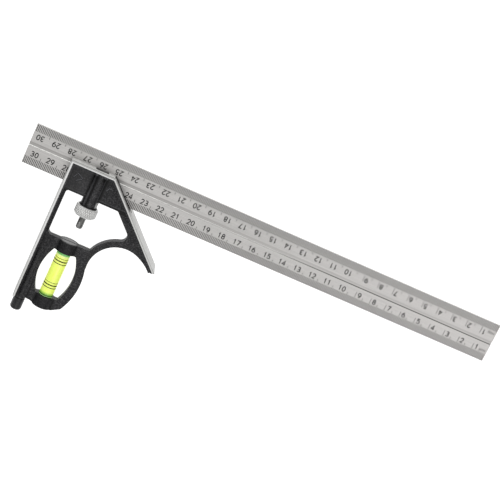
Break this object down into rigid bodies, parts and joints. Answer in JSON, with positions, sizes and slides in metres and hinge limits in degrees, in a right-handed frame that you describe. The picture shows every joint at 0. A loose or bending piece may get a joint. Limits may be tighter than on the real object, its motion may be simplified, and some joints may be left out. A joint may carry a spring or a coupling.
{
  "type": "combination square",
  "caption": "Carpenter's combination square: a long grooved steel rule sliding in a cast head with 90 and 45 degree fences, a clamp nut, a vial and a pull-out scriber.",
  "frame": {"origin": "the square corner at the head's back: the point where the square fence's face, the line of the blade's lower edge and the plane of the head's back rim meet", "axes": "+X along the blade towards its zero end, +Y across the blade from its lower edge to its upper edge, +Z out of the head's front; the square lies on its back on Z = 0"},
  "size_m": [0.3048, 0.1109, 0.02],
  "materials": {
    "black_paint": "fine textured black enamel with bare machined edges",
    "blade_steel": "satin",
    "bolt_steel": "turned and threaded",
    "nut_steel": "bright knurled",
    "black_rubber": "matt",
    "clear_tube": "clear acrylic that takes the yellow-green of the dye",
    "yellow_liquid": "bright yellow-green liquid",
    "green_plastic": "satin",
    "grey_metal": "dull grey",
    "brass": "turned",
    "needle_steel": "ground",
    "black_plastic": "smooth"
  },
  "bodies": {
    "head": {"head_casting": "black_paint", "clamp_washer": "black_rubber", "clamp_spring": "bolt_steel", "vial_tube": "clear_tube", "vial_liquid": "yellow_liquid", "vial_upper_plug": "green_plastic", "vial_lower_plug": "green_plastic", "vial_cushion": "black_rubber", "vial_retaining_screw": "grey_metal", "scriber_sleeve": "brass"},
    "blade": {"blade": "blade_steel"},
    "clamp_bolt": {"drawbolt": "bolt_steel"},
    "clamp_nut": {"clamp_nut": "nut_steel"},
    "scriber": {"scriber_needle": "needle_steel", "scriber_knob": "black_plastic"}
  },
  "joints": [
    {"name": "blade_slide", "type": "slide", "parent": "head", "child": "blade", "axis": [1, 0, 0], "range_m": [-0.235, 0.026]},
    {"name": "nut_turn", "type": "hinge", "parent": "head", "child": "clamp_nut", "pos_m": [0.01975, -0.0125, 0.01], "axis": [0, 1, 0], "range_deg": [0, 360]},
    {"name": "drawbolt_lift", "type": "slide", "parent": "head", "child": "clamp_bolt", "axis": [0, 1, 0], "range_m": [0, 0.0006]},
    {"name": "scriber_pull", "type": "slide", "parent": "head", "child": "scriber", "axis": [0, -1, 0], "range_m": [0, 0.06]}
  ],
  "couplings": [
    {"joint": "nut_turn", "follows": "drawbolt_lift", "rad_per_m": 10471}
  ]
}
